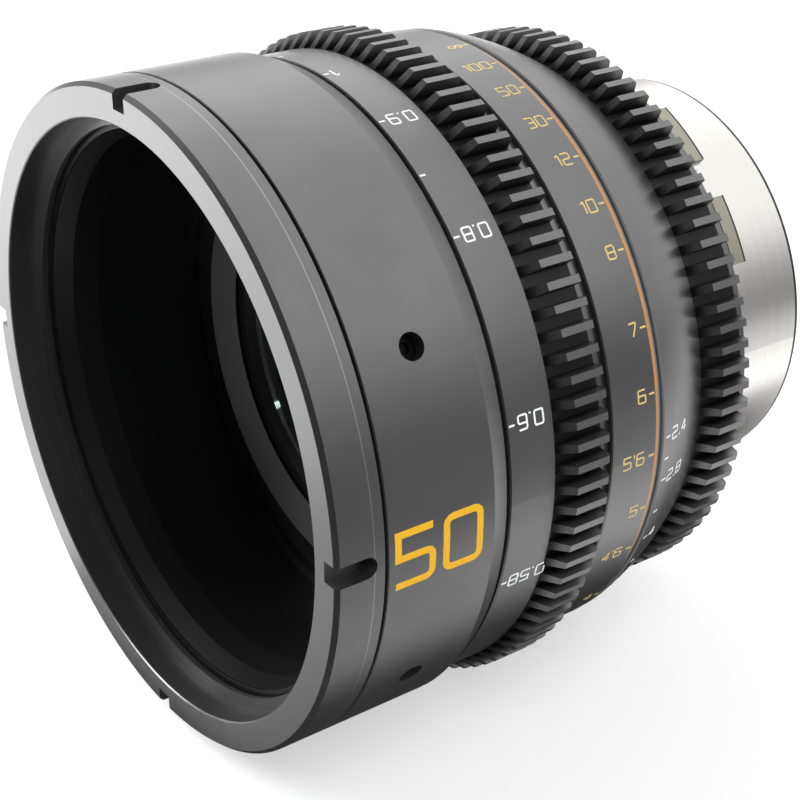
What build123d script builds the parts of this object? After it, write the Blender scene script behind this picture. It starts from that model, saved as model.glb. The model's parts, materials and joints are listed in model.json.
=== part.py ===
"""A cine prime lens with a geared focus ring, a geared iris ring and a four-lug steel mount.

The lens is drawn standing on its mount with the front up. Heights run along the optical axis from the
mount's flange seat, and angles run anticlockwise as seen from the front. At the end every piece is laid
down, so that the axis is level along Y with the front towards -Y, as the lens lies on a table.
"""
import os
from math import acos, asin, atan2, cos, degrees, hypot, pi, radians, sin, tan

from build123d import *

# Whole lens
barrel_radius = 40.0
running_fit = 0.05
seat_fit = 0.02
face_gap = 0.05
overrun = 2.0

# Front ring, with the filter thread and the four rim slots
front_ring_width = 5.95
front_chamfer = 0.5
front_rim_width = 4.0
filter_bore_chamfer = 0.15
filter_bore_depth = 4.0
front_lip_drop = 5.4
front_lip_thickness = 0.5
front_spigot_drop = 2.5
front_spigot_bore_drop = 4.8
front_spigot_length = 5.5
rim_slot_count = 4
rim_slot_width = 2.5
rim_slot_length = 5.0
rim_slot_depth = 2.2
# Degrees by which the seam of a turned wall is kept off its slots and screw holes.
seam_angle = 10

# Front barrel, with its screw holes on both flanks
ring_groove = 0.4
front_barrel_width = 16.15
front_barrel_bevel_length = 2.4
front_barrel_bevel_drop = 1.0
front_barrel_edge = 0.12
barrel_screw_radius = 1.5
barrel_screw_slack = 0.06
barrel_screw_depth = 1.6
barrel_screw_from_front = 6.75
barrel_screw_socket_radius = 0.7
barrel_screw_socket_depth = 0.5
barrel_screw_angles = (30, 150, 210, 330)

# Hood liner inside the front
liner_flange_drop = 5.0
liner_flange_thickness = 1.5
liner_mouth_drop = 6.0
liner_mouth_land = 0.2
liner_gap = 0.6
liner_bore_drop = 7.4
liner_throat_drop = 6.9
liner_cone_length = 2.3
liner_taper_length = 3.4
liner_wall = 0.7
liner_length = 21.0
liner_lip_drop = 11.4
liner_lip_thickness = 0.8
liner_step_drop = 9.2
liner_step_length = 1.6

# Main barrel, which carries the focus sleeve and guides the optical block
main_seat_drop = 3.8
main_bore_drop = 6.6
main_web_drop = 9.1
main_web_thickness = 1.8
guide_slot_ends = 0.3

# Focus ring: sleeve, two scale bands and the gear between them
focus_range_to_far = 84.0
focus_range_to_near = 196.0
focus_lift = 4.8
focus_gap = 0.55
sleeve_wall = 1.65
band_wall = 1.1
front_band_width = 6.15
gear_face_width = 6.6
band_neck_width = 1.7
band_neck_drop = 0.75
rear_band_width = 6.7
band_edge = 0.15
gear_module = 0.8
flank_angle = 7.0
tooth_share = 0.46
dedendum_share = 1.25
gear_front_chamfer = 1.8
gear_rear_chamfer = 0.4
neck_screw_radius = 0.7
neck_screw_count = 3
follower_radius = 0.95
follower_clearance = 0.03
follower_count = 2
follower_angle = 90.0
follower_from_focus_front = 10.45
helix_end_margin = 3.0
stop_pin_radius = 0.8
stop_pin_angle = 180.0
stop_pin_from_gap = 1.6
stop_recess_depth = 3.0
stop_margin = 0.6

# Orange index ring between the focus ring and the iris ring
index_gap = 0.12
index_width = 0.9
index_drop = 1.4

# Iris ring and its gear
iris_range = 78.0
iris_front_drop = 1.1
iris_shoulder_length = 9.8
iris_shoulder_sag = 0.55
iris_bearing_drop = 7.2
iris_gear_drop = 4.0
iris_gear_width = 6.5
iris_gear_seat_drop = 0.95
iris_recess_depth = 1.45
drive_pin_radius = 1.0
drive_pin_angle = 231.0
drive_pin_from_iris_front = 6.16
drive_pin_tip_drop = 12.6

# Rear barrel and rear housing
rear_barrel_bore_drop = 9.6
rear_flange_drop = 6.5
rear_flange_thickness = 1.4
rear_screw_radius = 0.8
rear_screw_head_radius = 1.3
rear_screw_head_height = 0.9
rear_screw_length = 2.6
rear_screw_count = 4
rear_screw_circle_drop = 7.85
housing_rim_drop = 5.6
housing_rim_width = 1.05
housing_gap = 0.31
housing_spigot_length = 5.0
housing_bore_drop = 13.6

# Camera mount, with a 54 mm register and four lugs
register_drop = 13.0
register_length = 13.9
register_bore_drop = 15.0
flange_drop = 9.8
flange_thickness = 2.9
lug_drop = 6.5
lug_count = 4
lug_width_angle = 37.4
lug_chamfer = 0.8
lug_notch_width = 5.0
lug_notch_drop = 9.4
shim_thickness = 0.2
mount_screw_circle_drop = 11.35
mount_screw_radius = 0.9
mount_screw_head_radius = 1.35
mount_screw_head_height = 0.7
mount_screw_length = 6.0
mount_screw_sink = 0.1
rear_ring_drop = 13.1
rear_ring_thickness = 0.48
baffle_wall = 0.9
baffle_length = 15.0

# Optical block: carrier, cells and glass
carrier_guide_wall = 1.75
carrier_guide_from_focus_front = 7.35
carrier_guide_length = 10.6
carrier_web_thickness = 2.0
iris_housing_drop = 15.8
iris_housing_wall = 1.6
iris_housing_length = 7.0
front_cell_drop = 11.8
front_cell_from_focus_front = 1.95
front_cell_mouth_drop = 12.8
front_cell_mouth_depth = 1.6
front_glass_drop = 18.0
front_glass_edge = 2.2
front_glass_from_focus_front = 5.15
retaining_ring_thickness = 1.1
retaining_ring_overlap = 0.9
retaining_ring_wall = 2.4
second_glass_drop = 21.0
second_glass_edge = 2.4
third_glass_drop = 24.0
third_glass_edge = 1.6
front_spacer_length = 2.2
second_spacer_length = 1.2
spacer_wall = 1.2
rear_cell_drop = 20.5
rear_cell_flange = 1.2
rear_cell_length = 17.5
fourth_glass_drop = 26.5
fourth_glass_edge = 2.0
fifth_glass_drop = 25.5
fifth_glass_edge = 3.4
rear_glass_drop = 24.5
rear_glass_edge = 2.0
rear_cell_step = 2.4
glass_fit = 0.03
glass_land = 2.3
front_glass_rise = 2.4
front_glass_hollow = -1.6
second_glass_rise = 1.5
second_glass_hollow = -1.4
third_glass_rise = -0.6
third_glass_hollow = -1.1
fourth_glass_rise = -1.6
fourth_glass_swell = 0.8
fifth_glass_rise = 1.0
fifth_glass_swell = 1.4
rear_glass_rise = 0.8
rear_glass_swell = 0.6

# Iris: base plate, blades, cam ring and cover
iris_from_web = 1.0
iris_plate_thickness = 1.0
iris_opening_share = 0.405
iris_plate_opening_share = 0.4256
blade_count = 9
blade_thickness = 0.1
blade_pitch = 0.16
blade_outer_radius_share = 0.6446
blade_span = 120.0
blade_swing = 30.4
pivot_circle_share = 0.7025
pivot_radius = 0.4
pivot_lug_radius = 1.1
lever_length_share = 0.3306
lever_angle = 60.0
lever_width = 1.8
pin_clearance = 0.05
cam_ring_thickness = 1.2
cam_ring_bore_share = 0.7273
cam_gap = 0.12
cam_slot_steps = 8
cover_thickness = 0.7
cover_bore_share = 0.4959
fork_width = 5.0
fork_reach_drop = 10.4
fork_wall = 1.6
fork_length = 7.4
fork_clearance = 0.04

# Radii, worked out from the barrel's radius and the drops above
filter_bore_radius = barrel_radius - front_rim_width
front_lip_radius = barrel_radius - front_lip_drop
front_spigot_radius = barrel_radius - front_spigot_drop
front_spigot_bore = barrel_radius - front_spigot_bore_drop
rim_slot_floor_radius = barrel_radius - rim_slot_depth
liner_flange_radius = barrel_radius - liner_flange_drop
liner_mouth_radius = barrel_radius - liner_mouth_drop
liner_bore_radius = barrel_radius - liner_bore_drop
liner_throat_radius = barrel_radius - liner_throat_drop
liner_lip_radius = barrel_radius - liner_lip_drop
liner_step_radius = barrel_radius - liner_step_drop
main_seat_radius = barrel_radius - main_seat_drop
main_bore_radius = barrel_radius - main_bore_drop
main_web_radius = barrel_radius - main_web_drop
index_radius = barrel_radius - index_drop
iris_front_radius = barrel_radius - iris_front_drop
iris_bearing_radius = barrel_radius - iris_bearing_drop
rear_barrel_bore = barrel_radius - rear_barrel_bore_drop
rear_flange_radius = barrel_radius - rear_flange_drop
rear_screw_circle = barrel_radius - rear_screw_circle_drop
housing_rim_radius = barrel_radius - housing_rim_drop
housing_bore = barrel_radius - housing_bore_drop
register_radius = barrel_radius - register_drop
register_bore = barrel_radius - register_bore_drop
flange_radius = barrel_radius - flange_drop
lug_radius = barrel_radius - lug_drop
lug_notch_floor = barrel_radius - lug_notch_drop
mount_screw_circle = barrel_radius - mount_screw_circle_drop
rear_ring_radius = barrel_radius - rear_ring_drop
drive_pin_tip_radius = barrel_radius - drive_pin_tip_drop
fork_reach = barrel_radius - fork_reach_drop
iris_housing_bore = barrel_radius - iris_housing_drop
front_cell_radius = barrel_radius - front_cell_drop
front_cell_mouth_radius = barrel_radius - front_cell_mouth_drop
front_glass_radius = barrel_radius - front_glass_drop
second_glass_radius = barrel_radius - second_glass_drop
third_glass_radius = barrel_radius - third_glass_drop
rear_cell_radius = barrel_radius - rear_cell_drop
fourth_glass_radius = barrel_radius - fourth_glass_drop
fifth_glass_radius = barrel_radius - fifth_glass_drop
rear_glass_radius = barrel_radius - rear_glass_drop
iris_opening = iris_housing_bore * iris_opening_share
iris_plate_opening = iris_housing_bore * iris_plate_opening_share
blade_outer_radius = iris_housing_bore * blade_outer_radius_share
pivot_circle = iris_housing_bore * pivot_circle_share
lever_length = iris_housing_bore * lever_length_share
cam_ring_bore = iris_housing_bore * cam_ring_bore_share
cover_bore = iris_housing_bore * cover_bore_share
focus_gear_teeth = round(2 * barrel_radius / gear_module)
iris_gear_teeth = round(2 * (barrel_radius - iris_gear_drop) / gear_module)

# Heights along the axis, stacked from the flange forwards by the widths above
shim_front = flange_thickness + shim_thickness
housing_front = shim_front + housing_rim_width
iris_rear = housing_front + housing_gap
iris_gear_front = iris_rear + iris_gear_width
iris_front = iris_gear_front + iris_shoulder_length
index_rear = iris_front + index_gap
index_front = index_rear + index_width
focus_rear = index_front + index_gap
rear_band_front = focus_rear + rear_band_width
gear_rear = rear_band_front + band_neck_width
gear_front = gear_rear + gear_face_width
focus_front = gear_front + front_band_width
front_barrel_rear = focus_front + focus_gap
front_barrel_front = front_barrel_rear + front_barrel_width
front_ring_rear = front_barrel_front + ring_groove
front_face = front_ring_rear + front_ring_width
main_front = front_ring_rear - front_spigot_length - face_gap
sleeve_radius = main_seat_radius + running_fit
band_bore = sleeve_radius + sleeve_wall + seat_fit
band_radius = band_bore + band_wall
focus_rack = focus_lift / (focus_range_to_far + focus_range_to_near)
travel_back = focus_rack * focus_range_to_far
travel_ahead = focus_rack * focus_range_to_near
follower_height = focus_front - follower_from_focus_front
guide_front = focus_front - carrier_guide_from_focus_front
web_front = guide_front - carrier_guide_length + carrier_web_thickness
web_rear = web_front - carrier_web_thickness
plate_front = web_rear - iris_from_web
plate_rear = plate_front - iris_plate_thickness
stack_height = (blade_count - 1) * blade_pitch + blade_thickness
cam_front = plate_rear - cam_gap - stack_height - cam_gap
cam_rear = cam_front - cam_ring_thickness
cover_front = cam_rear - cam_gap
cover_rear = cover_front - cover_thickness
drive_pin_height = iris_front - drive_pin_from_iris_front
front_glass_top = focus_front - front_glass_from_focus_front
front_glass_low = front_glass_top - front_glass_edge
second_glass_top = front_glass_low - front_spacer_length
second_glass_low = second_glass_top - second_glass_edge
third_glass_top = second_glass_low - second_spacer_length
third_glass_low = third_glass_top - third_glass_edge
cell_front = cover_rear - face_gap
fourth_glass_top = cell_front - rear_cell_flange
fourth_glass_low = fourth_glass_top - fourth_glass_edge
fifth_glass_top = fourth_glass_low - rear_cell_step
fifth_glass_low = fifth_glass_top - fifth_glass_edge
rear_glass_top = cell_front - rear_cell_length + retaining_ring_thickness + rear_glass_edge
rear_glass_low = rear_glass_top - rear_glass_edge


def turned(*corners):
    """A solid of revolution about the optical axis from corners given as (radius, height)."""
    outline = Polyline(*[(radius, 0, height) for radius, height in corners], close=True)
    return revolve(make_face(outline), Axis.Z)


def tube(inner, outer, low, high):
    """A plain ring between two radii and two heights."""
    return turned((inner, low), (outer, low), (outer, high), (inner, high))


def sector(inner, outer, low, high, start, stop):
    """A part of a ring, from one angle to another."""
    outline = Polyline((inner, 0, low), (outer, 0, low), (outer, 0, high), (inner, 0, high), close=True)
    return Rot(0, 0, start) * revolve(make_face(outline), Axis.Z, revolution_arc=stop - start)


def radial_pin(radius, inner, outer, height, angle):
    """A round bar that points away from the axis."""
    bar = Plane(origin=(inner, 0, height), z_dir=(1, 0, 0)) * extrude(Circle(radius), outer - inner)
    return Rot(0, 0, angle) * bar


def axial_pin(radius, low, high, circle, angle):
    """A round bar along the axis direction, on a circle about the optical axis."""
    return Rot(0, 0, angle) * Pos(circle, 0, low) * extrude(Circle(radius), high - low)


def polar(radius, angle):
    return (radius * cos(radians(angle)), radius * sin(radians(angle)))


def front_ring():
    """The front ring: flat face, thread bore with a thin lip, rear spigot and four rim slots."""
    bore_end = front_face - filter_bore_depth
    spigot_rear = front_ring_rear - front_spigot_length
    ring = Rot(0, 0, seam_angle) * turned(
        (filter_bore_radius + filter_bore_chamfer, front_face),
        (barrel_radius - front_chamfer, front_face),
        (barrel_radius, front_face - front_chamfer),
        (barrel_radius, front_ring_rear),
        (front_spigot_radius, front_ring_rear),
        (front_spigot_radius, spigot_rear),
        (front_spigot_bore, spigot_rear),
        (front_spigot_bore, bore_end - front_lip_thickness),
        (front_lip_radius, bore_end - front_lip_thickness),
        (front_lip_radius, bore_end),
        (filter_bore_radius, bore_end),
        (filter_bore_radius, front_face - filter_bore_chamfer),
    )
    slot_end = front_face - rim_slot_length + rim_slot_width / 2
    slot_depth = barrel_radius - rim_slot_floor_radius + overrun
    slot_height = front_face + overrun - slot_end
    side = Plane(origin=(rim_slot_floor_radius, 0, 0), x_dir=(0, 1, 0), z_dir=(1, 0, 0))
    outline = Pos(0, slot_end + slot_height / 2) * Rectangle(rim_slot_width, slot_height)
    outline += Pos(0, slot_end) * Circle(rim_slot_width / 2)
    cutter = side * extrude(outline, slot_depth)
    for number in range(rim_slot_count):
        ring -= Rot(0, 0, number * 360 / rim_slot_count) * cutter
    return ring


def front_barrel():
    """The front barrel: a plain cylinder with a bevelled rear edge and radial screw holes."""
    inner = front_spigot_radius + running_fit
    barrel = Rot(0, 0, seam_angle) * turned(
        (inner, front_barrel_front),
        (barrel_radius - front_barrel_edge, front_barrel_front),
        (barrel_radius, front_barrel_front - front_barrel_edge),
        (barrel_radius, front_barrel_rear + front_barrel_bevel_length),
        (barrel_radius - front_barrel_bevel_drop, front_barrel_rear),
        (inner, front_barrel_rear),
    )
    height = front_barrel_front - barrel_screw_from_front
    for angle in barrel_screw_angles:
        barrel -= radial_pin(barrel_screw_radius, inner - overrun, barrel_radius + overrun, height, angle)
    return barrel


def front_set_screws():
    """Socket set screws at the bottom of the radial holes, which hold the barrel on the main barrel."""
    height = front_barrel_front - barrel_screw_from_front
    inner = front_spigot_radius + seat_fit
    outer = barrel_radius - barrel_screw_depth
    radius = barrel_screw_radius - barrel_screw_slack
    screws = []
    for angle in barrel_screw_angles:
        screw = radial_pin(radius, inner, outer, height, angle)
        socket = outer - barrel_screw_socket_depth
        screw -= radial_pin(barrel_screw_socket_radius, socket, outer + overrun, height, angle)
        screws.append(screw)
    return Compound(children=screws)


def hood_liner():
    """The matt hood liner: a flanged mouth, a short cone, a long bore and two steps at the back."""
    top = front_face - filter_bore_depth - front_lip_thickness - liner_gap
    low = top - liner_length
    throat = top - liner_mouth_land - liner_cone_length
    bore_start = throat - liner_taper_length
    outer = liner_bore_radius + liner_wall
    throat_outer = liner_throat_radius + liner_wall
    return turned(
        (liner_mouth_radius, top),
        (liner_flange_radius, top),
        (liner_flange_radius, top - liner_flange_thickness),
        (throat_outer, top - liner_flange_thickness),
        (throat_outer, throat),
        (outer, bore_start),
        (outer, low),
        (liner_lip_radius, low),
        (liner_lip_radius, low + liner_lip_thickness),
        (liner_step_radius, low + liner_lip_thickness),
        (liner_step_radius, low + liner_step_length),
        (liner_bore_radius, low + liner_step_length),
        (liner_bore_radius, bore_start),
        (liner_throat_radius, throat),
        (liner_mouth_radius, top - liner_mouth_land),
    )


def main_barrel():
    """The fixed inner barrel: front spigot, bearing seat for the focus sleeve, guide slots and rear web."""
    shoulder = focus_front + focus_gap / 2
    barrel = turned(
        (main_bore_radius, main_front),
        (front_spigot_radius, main_front),
        (front_spigot_radius, shoulder),
        (main_seat_radius, shoulder),
        (main_seat_radius, index_rear),
        (main_web_radius, index_rear),
        (main_web_radius, index_rear + main_web_thickness),
        (main_bore_radius, index_rear + main_web_thickness),
    )
    width = 2 * (follower_radius + follower_clearance)
    ends = follower_radius + guide_slot_ends
    low = follower_height - travel_back - ends
    high = follower_height + travel_ahead + ends
    depth = main_seat_radius - main_bore_radius + 2 * overrun
    box = Pos(main_bore_radius - overrun + depth / 2, 0, (low + high) / 2) * Box(depth, width, high - low)
    for number in range(follower_count):
        barrel -= Rot(0, 0, follower_angle + number * 360 / follower_count) * box
    for number in range(rear_screw_count):
        angle = rear_screw_angle(number)
        top = index_rear + main_web_thickness
        barrel -= axial_pin(rear_screw_radius, index_rear - overrun, top, rear_screw_circle, angle)
    return barrel


def rear_screw_angle(number):
    return (number + 0.5) * 360 / rear_screw_count


def focus_stop_pin():
    """The stop pin that stands out of the main barrel into the focus sleeve's recess."""
    height = focus_front - stop_pin_from_gap
    tip = sleeve_radius + sleeve_wall - face_gap
    return radial_pin(stop_pin_radius, main_seat_radius + seat_fit, tip, height, stop_pin_angle)


def helical_slot(angle, height):
    """The solid that cuts one helical cam slot, from the far stop to the near stop."""
    lead = focus_rack * 360
    turn = focus_range_to_far + focus_range_to_near + 2 * helix_end_margin
    middle = sleeve_radius + sleeve_wall / 2
    path = Helix(pitch=lead, height=lead * turn / 360, radius=middle, lefthand=True)
    depth = sleeve_wall + 2 * follower_radius
    width = 2 * (follower_radius + follower_clearance)
    section = Plane(origin=path @ 0, x_dir=(1, 0, 0), z_dir=path % 0) * Rectangle(depth, width)
    cutter = sweep(section, path=path, is_frenet=True)
    start = angle + focus_range_to_far + helix_end_margin
    low = height - focus_rack * (focus_range_to_far + helix_end_margin)
    return Pos(0, 0, low) * Rot(0, 0, start) * cutter


def focus_sleeve():
    """The turning sleeve, with two helical cam slots and a recess that meets the stop pin."""
    outer = sleeve_radius + sleeve_wall
    sleeve = tube(sleeve_radius, outer, focus_rear + face_gap, focus_front)
    for number in range(follower_count):
        sleeve -= helical_slot(follower_angle + number * 360 / follower_count, follower_height)
    margin = degrees(stop_pin_radius / sleeve_radius) + stop_margin
    start = stop_pin_angle - focus_range_to_near - margin
    stop = stop_pin_angle + focus_range_to_far + margin
    low = focus_front - stop_recess_depth
    sleeve -= sector(sleeve_radius - overrun, outer + overrun, low, focus_front + overrun, start, stop)
    return sleeve


def metric_scale_ring():
    """The smooth front band of the focus ring, which carries the metric scale."""
    return turned(
        (band_bore, focus_front),
        (band_radius - band_edge, focus_front),
        (band_radius, focus_front - band_edge),
        (band_radius, gear_front + seat_fit),
        (band_bore, gear_front + seat_fit),
    )


def involute(angle):
    return tan(angle) - angle


def gear(teeth, bore, low, high):
    """A spur gear ring with steep involute flanks, and a full bevel at its front end."""
    pitch_radius = gear_module * teeth / 2
    base_radius = pitch_radius * cos(radians(flank_angle))
    tip = pitch_radius + gear_module
    root = pitch_radius - dedendum_share * gear_module

    def half_angle(radius):
        at_pitch = pi * tooth_share / teeth + involute(radians(flank_angle))
        return at_pitch - involute(acos(min(1, base_radius / radius)))

    corners = []
    for number in range(teeth):
        middle = 2 * pi * number / teeth
        for radius, side in ((root, -1), (tip, -1), (tip, 1), (root, 1)):
            angle = middle + side * half_angle(radius)
            corners.append((radius * cos(angle), radius * sin(angle)))
    toothed = Pos(0, 0, low) * extrude(make_face(Polyline(*corners, close=True)), high - low)
    blank = turned(
        (bore, low),
        (tip - gear_rear_chamfer, low),
        (tip, low + gear_rear_chamfer),
        (tip, high - gear_front_chamfer),
        (tip - gear_front_chamfer, high),
        (bore, high),
    )
    return toothed & blank


def focus_gear():
    """The follow-focus gear ring."""
    return gear(focus_gear_teeth, band_bore, gear_rear, gear_front)


def feet_scale_ring():
    """The rear band of the focus ring: a neck behind the gear, and the band of the feet scale."""
    neck = band_radius - band_neck_drop
    ring = turned(
        (band_bore, gear_rear - seat_fit),
        (neck, gear_rear - seat_fit),
        (neck, rear_band_front),
        (band_radius - band_edge, rear_band_front),
        (band_radius, rear_band_front - band_edge),
        (band_radius, focus_rear + band_edge),
        (band_radius - band_edge, focus_rear),
        (band_bore, focus_rear),
    )
    for number in range(neck_screw_count):
        ring -= neck_screw(number, neck_screw_radius + seat_fit, band_bore - overrun, neck + overrun)
    return ring


def neck_screw(number, radius, inner, outer):
    height = gear_rear - band_neck_width / 2
    return radial_pin(radius, inner, outer, height, (number + 0.5) * 360 / neck_screw_count)


def focus_ring_screws():
    """Small set screws in the neck that hold the bands and the gear on the sleeve."""
    neck = band_radius - band_neck_drop
    inner = sleeve_radius + sleeve_wall + seat_fit
    outer = neck - seat_fit
    screws = [neck_screw(number, neck_screw_radius, inner, outer) for number in range(neck_screw_count)]
    return Compound(children=screws)


def index_ring():
    """The thin fixed index ring that the feet scale and the stop scale are read against."""
    inner = main_seat_radius + seat_fit
    return turned(
        (inner, index_rear),
        (index_radius - band_edge, index_rear),
        (index_radius, index_rear + band_edge),
        (index_radius, index_front - band_edge),
        (index_radius - band_edge, index_front),
        (inner, index_front),
    )


def iris_ring():
    """The iris ring: a convex shoulder that falls to the gear seat, on a long bearing bore."""
    bore = iris_bearing_radius + running_fit
    root = gear_module * iris_gear_teeth / 2 - dedendum_share * gear_module
    seat = root - iris_gear_seat_drop
    recess = rear_flange_radius + 2 * running_fit
    top = iris_front - band_edge
    low = iris_gear_front
    middle_height = (top + low) / 2
    chord = hypot(top - low, iris_front_radius - root)
    tilt = atan2(iris_front_radius - root, top - low)
    bulge = iris_shoulder_sag * chord / iris_shoulder_length
    middle_radius = (iris_front_radius + root) / 2 + bulge * cos(tilt)
    middle_height += bulge * sin(tilt)
    edges = Polyline(
        (root, 0, low),
        (seat, 0, low),
        (seat, 0, iris_rear),
        (bore, 0, iris_rear),
        (bore, 0, iris_front - iris_recess_depth),
        (recess, 0, iris_front - iris_recess_depth),
        (recess, 0, iris_front),
        (iris_front_radius - band_edge, 0, iris_front),
        (iris_front_radius, 0, top),
    )
    arc = ThreePointArc((iris_front_radius, 0, top), (middle_radius, 0, middle_height), (root, 0, low))
    ring = revolve(make_face([*edges.edges(), arc]), Axis.Z)
    hole = drive_pin_radius + seat_fit
    ring -= radial_pin(hole, bore - overrun, seat + overrun, drive_pin_height, drive_pin_angle)
    return ring


def iris_gear():
    """The iris gear ring."""
    root = gear_module * iris_gear_teeth / 2 - dedendum_share * gear_module
    bore = root - iris_gear_seat_drop + seat_fit
    return gear(iris_gear_teeth, bore, iris_rear, iris_gear_front - seat_fit)


def iris_drive_pin():
    """The pin from the iris ring through the rear barrel's slot into the cam ring's fork."""
    outer = iris_bearing_radius + running_fit + iris_gear_seat_drop
    return radial_pin(drive_pin_radius, drive_pin_tip_radius, outer, drive_pin_height, drive_pin_angle)


def rear_barrel():
    """The fixed rear barrel that the iris ring turns on, with the slot for the drive pin."""
    top = index_rear - seat_fit
    low = housing_front + seat_fit
    barrel = turned(
        (rear_barrel_bore, top),
        (rear_flange_radius, top),
        (rear_flange_radius, top - rear_flange_thickness),
        (iris_bearing_radius, top - rear_flange_thickness),
        (iris_bearing_radius, low),
        (rear_barrel_bore, low),
    )
    margin = degrees(drive_pin_radius / rear_barrel_bore) + stop_margin
    half = drive_pin_radius + running_fit
    barrel -= sector(
        rear_barrel_bore - overrun,
        iris_bearing_radius + overrun,
        drive_pin_height - half,
        drive_pin_height + half,
        drive_pin_angle - margin,
        drive_pin_angle + iris_range + margin,
    )
    for number in range(rear_screw_count):
        angle = rear_screw_angle(number)
        hole = rear_screw_radius + seat_fit
        barrel -= axial_pin(hole, top - overrun, top + overrun, rear_screw_circle, angle)
        seat = top - rear_flange_thickness + rear_screw_head_height
        pocket = rear_screw_head_radius + running_fit
        barrel -= axial_pin(pocket, seat - 2 * overrun, seat, rear_screw_circle, angle)
    return barrel


def rear_barrel_screws():
    """The screws that join the rear barrel to the main barrel's web."""
    top = index_rear - seat_fit
    seat = top - rear_flange_thickness + rear_screw_head_height - seat_fit
    screws = []
    for number in range(rear_screw_count):
        angle = rear_screw_angle(number)
        tip = seat - rear_screw_head_height + rear_screw_length
        shank = axial_pin(rear_screw_radius - seat_fit, seat - seat_fit, tip, rear_screw_circle, angle)
        low = seat - rear_screw_head_height
        head = axial_pin(rear_screw_head_radius, low, seat, rear_screw_circle, angle)
        screws.append(shank + head)
    return Compound(children=screws)


def rear_housing():
    """The rear housing: a spigot inside the rear barrel and a rim that keeps the iris ring in place."""
    spigot = rear_barrel_bore - seat_fit
    housing = turned(
        (housing_bore, shim_front),
        (housing_rim_radius, shim_front),
        (housing_rim_radius, housing_front - band_edge),
        (housing_rim_radius - band_edge, housing_front),
        (spigot, housing_front),
        (spigot, housing_front + housing_spigot_length),
        (housing_bore, housing_front + housing_spigot_length),
    )
    for number in range(lug_count):
        low = shim_front - overrun
        high = mount_screw_length
        angle = mount_screw_angle(number)
        housing -= axial_pin(mount_screw_radius, low, high, mount_screw_circle, angle)
    return housing


def mount_screw_angle(number):
    return number * 360 / lug_count


def mount_shim():
    """The steel shim that sets the back focus."""
    shim = tube(housing_bore, flange_radius, flange_thickness + seat_fit, shim_front - seat_fit)
    for number in range(lug_count):
        hole = mount_screw_radius + running_fit
        shim -= axial_pin(hole, 0, shim_front + overrun, mount_screw_circle, mount_screw_angle(number))
    return shim


def lug(number):
    """One lug of the bayonet, with its front edge bevelled and the round-bottomed locating notch."""
    middle = (number + 0.5) * 360 / lug_count
    half = lug_width_angle / 2
    inner = register_bore + (register_radius - register_bore) / 2
    outline = Polyline(
        (inner, 0, 0),
        (lug_radius, 0, 0),
        (lug_radius, 0, flange_thickness - lug_chamfer),
        (lug_radius - lug_chamfer, 0, flange_thickness),
        (inner, 0, flange_thickness),
        close=True,
    )
    solid = Rot(0, 0, middle - half) * revolve(make_face(outline), Axis.Z, revolution_arc=lug_width_angle)
    floor = lug_notch_floor + lug_notch_width / 2
    length = lug_radius + overrun - floor
    notch = Pos(floor + length / 2, 0) * Rectangle(length, lug_notch_width)
    notch += Pos(floor, 0) * Circle(lug_notch_width / 2)
    cutter = Pos(0, 0, -overrun) * extrude(notch, flange_thickness + 2 * overrun)
    return solid - Rot(0, 0, middle) * cutter


def camera_mount():
    """The polished steel mount: register barrel, flange, four lugs and countersunk screw holes."""
    mount = turned(
        (register_bore, -register_length),
        (register_radius, -register_length),
        (register_radius, 0),
        (flange_radius, 0),
        (flange_radius, flange_thickness),
        (register_bore, flange_thickness),
    )
    for number in range(lug_count):
        mount += lug(number)
    head = mount_screw_head_radius + running_fit
    for number in range(lug_count):
        mount -= mount_screw_form(number, running_fit)
        mount -= axial_pin(head, -overrun, mount_screw_sink, mount_screw_circle, mount_screw_angle(number))
    return mount


def mount_screw_form(number, room):
    """A countersunk screw that points into the lens, grown by the room that its hole needs."""
    head = mount_screw_head_radius + room
    shank = mount_screw_radius - seat_fit + room
    form = turned(
        (0, mount_screw_sink),
        (head, mount_screw_sink),
        (shank, mount_screw_sink + mount_screw_head_height),
        (shank, mount_screw_length),
        (0, mount_screw_length),
    )
    return Rot(0, 0, mount_screw_angle(number)) * Pos(mount_screw_circle, 0, 0) * form


def mount_screws():
    """The countersunk screws that hold the mount on the rear housing."""
    return Compound(children=[mount_screw_form(number, 0) for number in range(lug_count)])


def rear_baffle():
    """The black ring at the rear end of the mount, with the light baffle tube inside it."""
    end = -register_length - seat_fit
    outer = register_bore - seat_fit
    inner = outer - baffle_wall
    return turned(
        (inner, end - rear_ring_thickness),
        (rear_ring_radius, end - rear_ring_thickness),
        (rear_ring_radius, end),
        (outer, end),
        (outer, end + baffle_length),
        (inner, end + baffle_length),
    )


def focus_carrier():
    """The sliding carrier: guide cylinder, web, and the housing that holds the iris, with a fork window."""
    guide = main_bore_radius - running_fit
    guide_inner = guide - carrier_guide_wall
    housing_outer = iris_housing_bore + iris_housing_wall
    housing_rear = web_rear - iris_housing_length
    carrier = turned(
        (guide_inner, guide_front),
        (guide, guide_front),
        (guide, web_rear),
        (housing_outer, web_rear),
        (housing_outer, housing_rear),
        (iris_housing_bore, housing_rear),
        (iris_housing_bore, web_front),
        (guide_inner, web_front),
    )
    margin = degrees(asin((fork_width / 2 + stop_margin) / iris_housing_bore))
    carrier -= sector(
        iris_housing_bore - overrun,
        housing_outer + overrun,
        housing_rear - overrun,
        cam_front + cam_gap / 2,
        drive_pin_angle - margin,
        drive_pin_angle + iris_range + margin,
    )
    for number in range(follower_count):
        angle = follower_angle + number * 360 / follower_count
        low = guide_inner - overrun
        carrier -= radial_pin(follower_radius, low, guide + overrun, follower_height, angle)
    return carrier


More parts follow.
